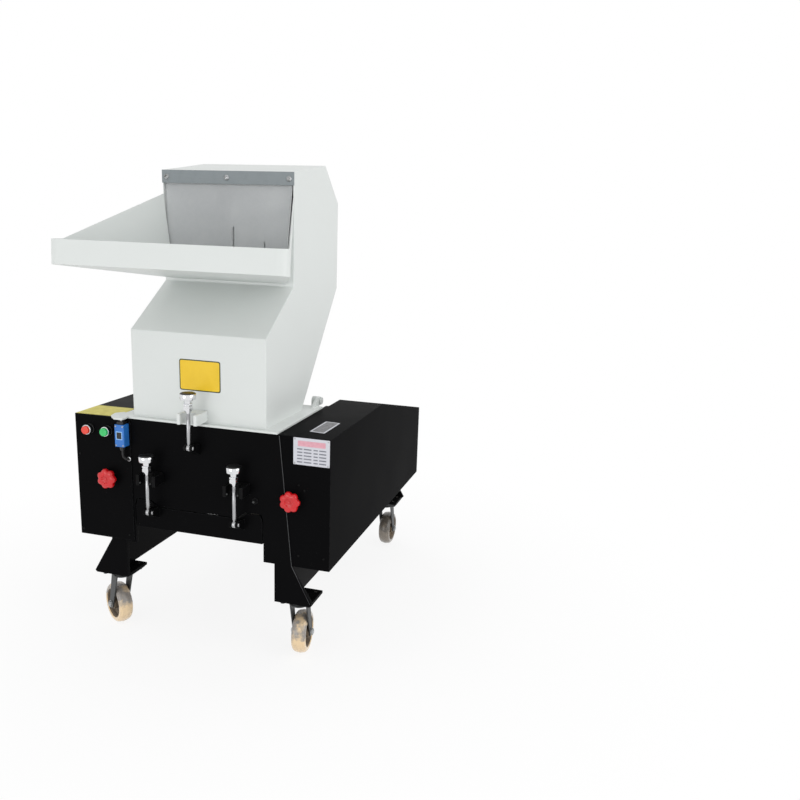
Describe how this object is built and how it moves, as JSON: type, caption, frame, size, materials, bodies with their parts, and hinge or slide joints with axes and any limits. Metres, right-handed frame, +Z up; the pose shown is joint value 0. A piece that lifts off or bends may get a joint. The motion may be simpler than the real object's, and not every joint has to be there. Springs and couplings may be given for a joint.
{
  "type": "plastic granulator",
  "caption": "Caster-mounted plastic granulator: hinged sheet hopper with flared feed tray over a belt-driven cutting chamber with hinged screen cradle, control box and guard.",
  "frame": {"origin": "centre of the machine's bounding box in plan, on the floor the casters stand on", "axes": "+X to the right as seen from the feed tray, +Y from the tray to the motor end, +Z up"},
  "size_m": [0.784, 1.1684, 1.406],
  "materials": {
    "base_black": "satin",
    "hopper_grey": "satin",
    "bar_grey": "brushed",
    "bare_steel": "machined",
    "chrome": "polished",
    "cast_parts": "rough",
    "black_parts": "satin",
    "motor_paint": "satin",
    "rubber": "matt",
    "belt": "matt",
    "black_plastic": "matt",
    "red_plastic": "gloss",
    "green_plastic": "gloss",
    "blue_plastic": "satin",
    "clear_sheet": "clear",
    "wheel": "satin"
  },
  "bodies": {
    "base": {"front_plate": "base_black", "rear_plate": "base_black", "side_plates": "base_black", "chamber_cheeks": "cast_parts", "front_knife_beam": "cast_parts", "rear_knife_beam": "cast_parts", "bed_knives": "bare_steel", "bearing_housings": "cast_parts", "cradle_hinge_pin": "bare_steel", "control_box": "base_black", "belt_guard": "base_black", "motor": "motor_paint", "motor_base": "base_black", "hinge_brackets": "black_parts", "clamp_lug": "black_parts", "clamp_saddles": "black_parts", "limit_switch": "blue_plastic", "switch_lead": "rubber", "button_collars": "chrome", "cable_gland": "black_plastic", "drive_belts": "belt", "caster_plates": "black_parts"},
    "hopper": {"hopper_shell": "hopper_grey", "feed_tray": "hopper_grey", "hopper_flange": "hopper_grey", "curtain_bar": "bar_grey", "curtain_bar_screws": "bare_steel", "switch_tongue": "hopper_grey", "rest_buffers": "rubber"},
    "curtain": {"curtain": "clear_sheet"},
    "hopper_clamp": {"hopper_clamp_rod": "bare_steel"},
    "hopper_clamp_knob": {"hopper_clamp_knob": "chrome"},
    "cradle": {"screen_cradle": "black_parts", "screen": "bare_steel"},
    "cradle_clamp_left": {"cradle_clamp_rod_left": "bare_steel"},
    "cradle_clamp_right": {"cradle_clamp_rod_right": "bare_steel"},
    "cradle_knob_left": {"cradle_clamp_knob_left": "chrome"},
    "cradle_knob_right": {"cradle_clamp_knob_right": "chrome"},
    "star_knob_left": {"star_knob_left": "red_plastic"},
    "star_knob_right": {"star_knob_right": "red_plastic"},
    "stop_button": {"stop_button": "red_plastic"},
    "start_button": {"start_button": "green_plastic"},
    "switch_plunger": {"switch_plunger": "bare_steel"},
    "rotor": {"rotor_shaft": "bare_steel", "rotor_body": "cast_parts", "rotor_knives": "bare_steel", "flywheel": "cast_parts"},
    "motor_rotor": {"motor_pulley": "cast_parts"},
    "caster_front_left": {"caster_fork_front_left": "black_parts"},
    "wheel_front_left": {"caster_wheel_front_left": "wheel"},
    "caster_front_right": {"caster_fork_front_right": "black_parts"},
    "wheel_front_right": {"caster_wheel_front_right": "wheel"},
    "caster_rear_left": {"caster_fork_rear_left": "black_parts"},
    "wheel_rear_left": {"caster_wheel_rear_left": "wheel"},
    "caster_rear_right": {"caster_fork_rear_right": "black_parts"},
    "wheel_rear_right": {"caster_wheel_rear_right": "wheel"}
  },
  "joints": [
    {"name": "hopper_hinge", "type": "hinge", "parent": "base", "child": "hopper", "pos_m": [-0.005, -0.08225, 0.698], "axis": [1, 0, 0], "range_deg": [-75, 0]},
    {"name": "curtain_swing", "type": "hinge", "parent": "hopper", "child": "curtain", "pos_m": [-0.005, -0.22695, 1.342], "axis": [1, 0, 0], "range_deg": [0, 50]},
    {"name": "hopper_clamp_pivot", "type": "hinge", "parent": "base", "child": "hopper_clamp", "pos_m": [-0.005, -0.47225, 0.624], "axis": [1, 0, 0], "range_deg": [0, 115]},
    {"name": "hopper_knob_spin", "type": "hinge", "parent": "hopper_clamp", "child": "hopper_clamp_knob", "pos_m": [-0.005, -0.47225, 0.738], "axis": [0, 0, 1], "continuous": true},
    {"name": "cradle_hinge", "type": "hinge", "parent": "base", "child": "cradle", "pos_m": [-0.005, -0.10425, 0.5], "axis": [1, 0, 0], "range_deg": [0, 35]},
    {"name": "cradle_clamp_pivot_left", "type": "hinge", "parent": "cradle", "child": "cradle_clamp_left", "pos_m": [-0.139, -0.47225, 0.421], "axis": [1, 0, 0], "range_deg": [0, 115]},
    {"name": "cradle_knob_spin_left", "type": "hinge", "parent": "cradle_clamp_left", "child": "cradle_knob_left", "pos_m": [-0.139, -0.47225, 0.548], "axis": [0, 0, 1], "continuous": true},
    {"name": "cradle_clamp_pivot_right", "type": "hinge", "parent": "cradle", "child": "cradle_clamp_right", "pos_m": [0.129, -0.47225, 0.421], "axis": [1, 0, 0], "range_deg": [0, 115]},
    {"name": "cradle_knob_spin_right", "type": "hinge", "parent": "cradle_clamp_right", "child": "cradle_knob_right", "pos_m": [0.129, -0.47225, 0.548], "axis": [0, 0, 1], "continuous": true},
    {"name": "star_knob_spin_left", "type": "hinge", "parent": "base", "child": "star_knob_left", "pos_m": [-0.28, -0.45425, 0.499], "axis": [0, 1, 0], "continuous": true},
    {"name": "star_knob_spin_right", "type": "hinge", "parent": "base", "child": "star_knob_right", "pos_m": [0.284, -0.44825, 0.499], "axis": [0, 1, 0], "continuous": true},
    {"name": "stop_push", "type": "slide", "parent": "base", "child": "stop_button", "axis": [0, 1, 0], "range_m": [0, 0.004], "stiffness_N_per_m": 400},
    {"name": "start_push", "type": "slide", "parent": "base", "child": "start_button", "axis": [0, 1, 0], "range_m": [0, 0.004], "stiffness_N_per_m": 400},
    {"name": "plunger_slide", "type": "slide", "parent": "base", "child": "switch_plunger", "axis": [0, 0, 1], "range_m": [0, 0.0041]},
    {"name": "rotor_spin", "type": "hinge", "parent": "base", "child": "rotor", "pos_m": [-0.005, -0.26925, 0.518], "axis": [1, 0, 0], "continuous": true},
    {"name": "motor_spin", "type": "hinge", "parent": "base", "child": "motor_rotor", "pos_m": [-0.005, 0.35575, 0.408], "axis": [1, 0, 0], "continuous": true},
    {"name": "swivel_front_left", "type": "hinge", "parent": "base", "child": "caster_front_left", "pos_m": [-0.295, -0.38225, 0.17], "axis": [0, 0, 1], "continuous": true},
    {"name": "wheel_spin_front_left", "type": "hinge", "parent": "caster_front_left", "child": "wheel_front_left", "pos_m": [-0.32723, -0.36211, 0.0625], "axis": [0.5299, 0.848, 0], "continuous": true},
    {"name": "swivel_front_right", "type": "hinge", "parent": "base", "child": "caster_front_right", "pos_m": [0.285, -0.38225, 0.17], "axis": [0, 0, 1], "continuous": true},
    {"name": "wheel_spin_front_right", "type": "hinge", "parent": "caster_front_right", "child": "wheel_front_right", "pos_m": [0.27971, -0.34462, 0.0625], "axis": [0.9903, 0.1392, 0], "continuous": true},
    {"name": "swivel_rear_left", "type": "hinge", "parent": "base", "child": "caster_rear_left", "pos_m": [-0.295, 0.48375, 0.17], "axis": [0, 0, 1], "continuous": true},
    {"name": "wheel_spin_rear_left", "type": "hinge", "parent": "caster_rear_left", "child": "wheel_rear_left", "pos_m": [-0.295, 0.52175, 0.0625], "axis": [1, 0, 0], "continuous": true},
    {"name": "swivel_rear_right", "type": "hinge", "parent": "base", "child": "caster_rear_right", "pos_m": [0.285, 0.48375, 0.17], "axis": [0, 0, 1], "continuous": true},
    {"name": "wheel_spin_rear_right", "type": "hinge", "parent": "caster_rear_right", "child": "wheel_rear_right", "pos_m": [0.285, 0.52175, 0.0625], "axis": [1, 0, 0], "continuous": true}
  ],
  "couplings": [
    {"joint": "plunger_slide", "follows": "hopper_hinge", "m_per_rad": -0.003056},
    {"joint": "motor_spin", "follows": "rotor_spin", "ratio": 2.5654}
  ]
}
